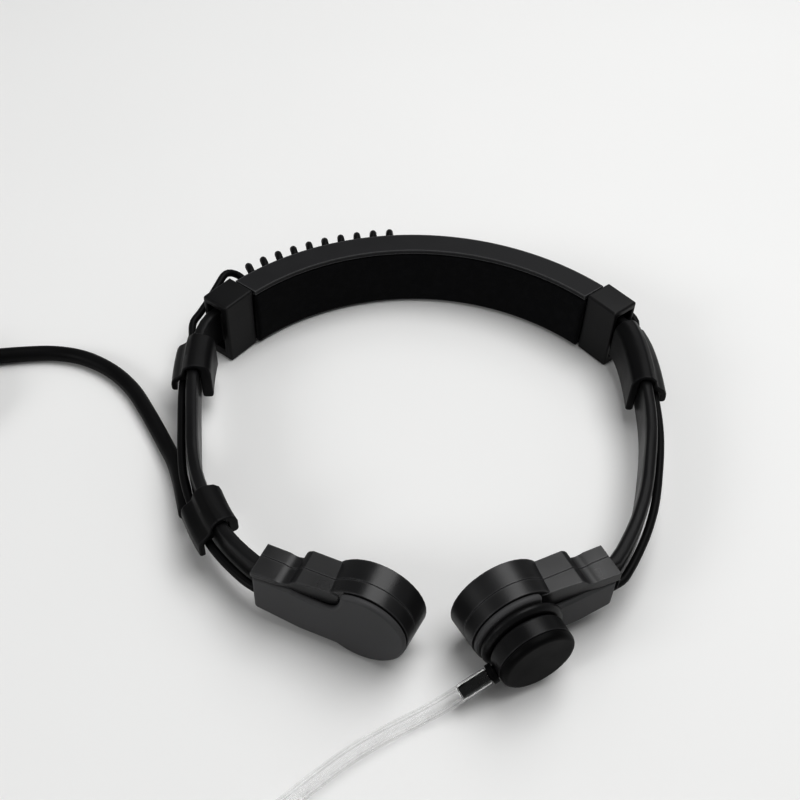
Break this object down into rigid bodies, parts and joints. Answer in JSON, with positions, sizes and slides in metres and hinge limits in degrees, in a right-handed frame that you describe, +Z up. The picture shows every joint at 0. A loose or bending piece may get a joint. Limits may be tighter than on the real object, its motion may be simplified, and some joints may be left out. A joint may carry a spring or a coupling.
{
  "type": "throat microphone headset",
  "caption": "Neckband headset: padded rear band, sliding sprung arms with throat microphone pods, a swivelling speaker with a clear acoustic tube, clipped cords, a curly cord and a jack plug.",
  "frame": {"origin": "centre of the footprint of the band, arms and pods, at the level of the table it lies on", "axes": "+Z up, the worn side's upper edge; -Y towards the wearer's throat, where the pods are; +X towards the pod with the speaker"},
  "size_m": [0.2604, 0.2425, 0.0244],
  "materials": {
    "satin_black_plastic": "satin, finely textured",
    "matte_black_plastic": "matte",
    "satin_grey_plastic": "satin",
    "pad_cloth": "close knit over foam",
    "strap_cloth": "woven strap",
    "cord_rubber": "satin",
    "clear_tube": "clear, glossy",
    "soft_clear_rubber": "translucent, soft",
    "steel": "plain",
    "nickel": "polished"
  },
  "bodies": {
    "band": {"rear_band_shell": "satin_black_plastic", "rear_band_liner": "matte_black_plastic", "neck_pad": "pad_cloth", "left_end_block": "satin_black_plastic", "left_block_screw": "steel", "right_end_block": "satin_black_plastic", "right_block_screw": "steel", "link_cord_loop": "cord_rubber", "link_cord_coil": "cord_rubber", "link_cord_rear": "cord_rubber"},
    "left_arm": {"left_arm": "satin_black_plastic", "left_upper_clip": "satin_grey_plastic", "left_lower_clip": "satin_grey_plastic", "left_pod_inner_shell": "satin_black_plastic", "left_pod_outer_shell": "satin_black_plastic", "left_pod_cover": "satin_grey_plastic", "left_mic_capsule": "steel", "left_contact_ring": "matte_black_plastic", "left_contact_disc": "matte_black_plastic", "left_pod_screw_1": "steel", "left_pod_screw_2": "steel", "link_cord_left": "cord_rubber", "left_mic_lead": "cord_rubber", "main_cord": "cord_rubber", "main_cord_coil": "cord_rubber", "main_cord_tie": "strap_cloth", "main_cord_tail": "cord_rubber", "plug_strain_relief": "matte_black_plastic", "plug_body": "matte_black_plastic", "plug_pin": "nickel"},
    "right_arm": {"right_arm": "satin_black_plastic", "right_clip": "satin_grey_plastic", "right_pod_inner_shell": "satin_black_plastic", "right_pod_outer_shell": "satin_black_plastic", "right_pod_cover": "satin_grey_plastic", "right_mic_capsule": "steel", "right_contact_ring": "matte_black_plastic", "right_contact_disc": "matte_black_plastic", "right_pod_screw_1": "steel", "right_pod_screw_2": "steel", "speaker_flange": "satin_black_plastic", "link_cord_right": "cord_rubber", "acoustic_tube": "clear_tube", "acoustic_tube_coil": "clear_tube", "acoustic_tube_tie": "strap_cloth", "acoustic_tube_tail": "clear_tube", "ear_tip_adapter": "clear_tube", "ear_tip": "soft_clear_rubber"},
    "speaker": {"speaker_can": "satin_black_plastic", "speaker_pivot": "steel", "speaker_driver": "steel", "speaker_cap": "matte_black_plastic", "tube_nozzle": "matte_black_plastic", "tube_sleeve": "clear_tube"}
  },
  "joints": [
    {"name": "left_arm_slide", "type": "slide", "parent": "band", "child": "left_arm", "axis": [-0.5892, -0.808, 0], "range_m": [0, 0.011]},
    {"name": "right_arm_slide", "type": "slide", "parent": "band", "child": "right_arm", "axis": [0.6587, -0.7524, 0], "range_m": [0, 0.011]},
    {"name": "speaker_swivel", "type": "hinge", "parent": "right_arm", "child": "speaker", "pos_m": [0.0247, -0.06548, 0.0122], "axis": [-0.4617, 0.887, 0], "range_deg": [-10, 100]}
  ]
}
